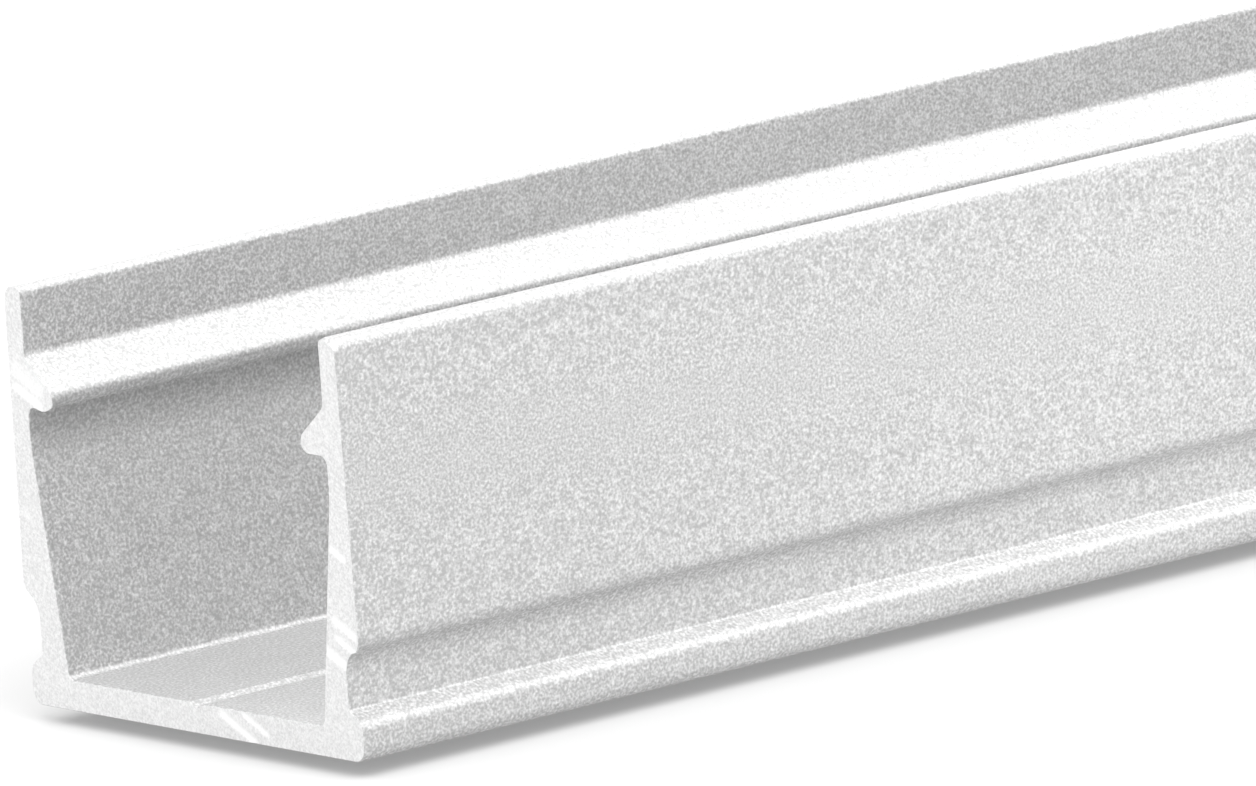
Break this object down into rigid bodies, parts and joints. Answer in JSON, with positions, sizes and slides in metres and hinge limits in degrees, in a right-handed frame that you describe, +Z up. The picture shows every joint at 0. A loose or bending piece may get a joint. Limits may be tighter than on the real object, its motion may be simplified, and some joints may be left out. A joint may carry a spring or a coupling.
{
  "type": "aluminium extrusion profile",
  "caption": "Surface-mount aluminium channel for LED strip: an open U section with inward catches for a snap-in cover and outer grooves for mounting clips, sold by length.",
  "frame": {"origin": "middle of the length and of the width, on the underside", "axes": "+X along the length, +Y across the width, +Z up, out of the open side"},
  "size_m": [1, 0.0178, 0.0145],
  "materials": {
    "anodised_aluminium": "satin"
  },
  "bodies": {
    "root": {"channel_profile": "anodised_aluminium"}
  },
  "joints": []
}
